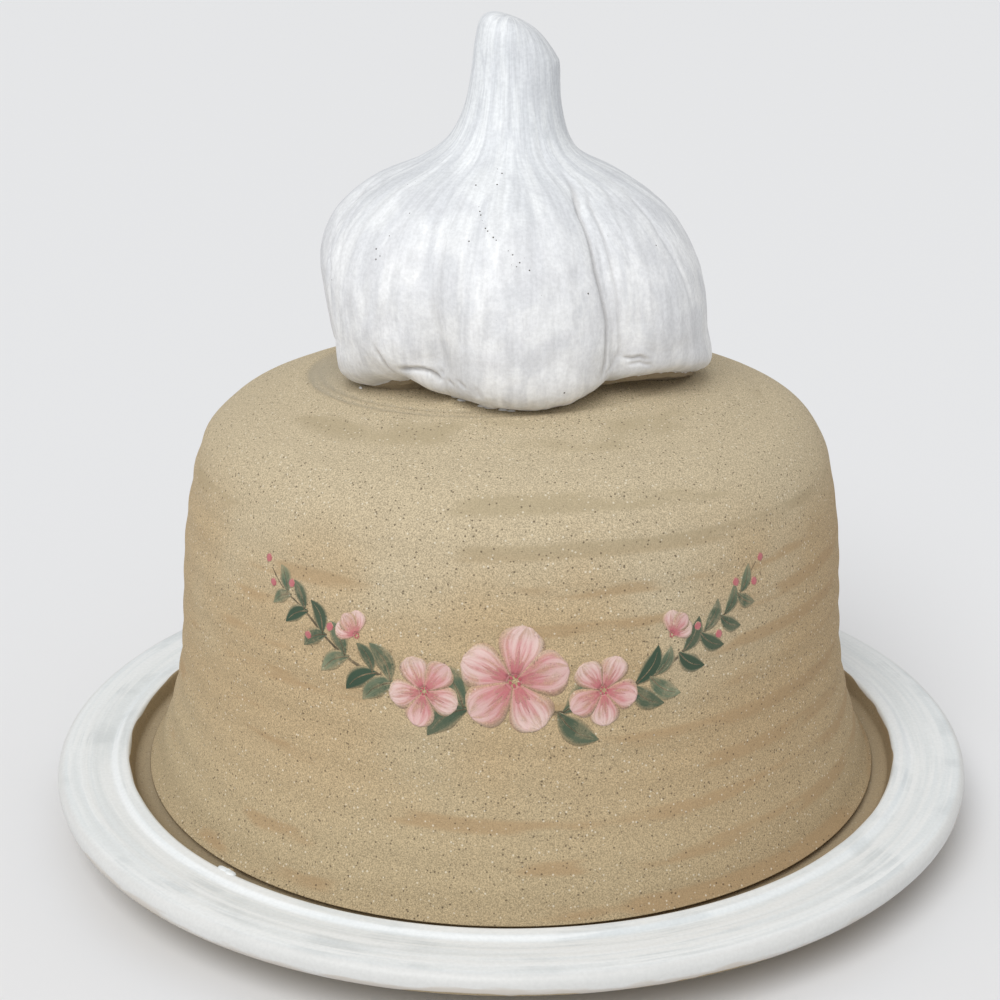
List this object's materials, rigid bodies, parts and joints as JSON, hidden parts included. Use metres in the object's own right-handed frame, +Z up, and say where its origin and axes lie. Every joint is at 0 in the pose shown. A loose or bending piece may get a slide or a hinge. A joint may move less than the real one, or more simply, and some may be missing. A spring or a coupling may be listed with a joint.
{
  "type": "garlic roaster",
  "caption": "Round stoneware garlic roaster: a wide-rimmed dish, a hollow bell-shaped cover standing in it, and a knob shaped as a head of garlic.",
  "frame": {"origin": "on the table, under the middle of the dish's foot ring", "axes": "+Z up along the dish's and the cover's turning axis, -Y towards the front, where the painted border shows"},
  "size_m": [0.18, 0.18, 0.1527],
  "materials": {
    "dish_glaze": "satin white glaze, brushed on",
    "cover_clay": "bare sandy stoneware with fine grog",
    "knob_glaze": "matte white glaze, brushed on"
  },
  "bodies": {
    "root": {"dish": "dish_glaze", "cover": "cover_clay", "garlic_knob": "knob_glaze"}
  },
  "joints": []
}
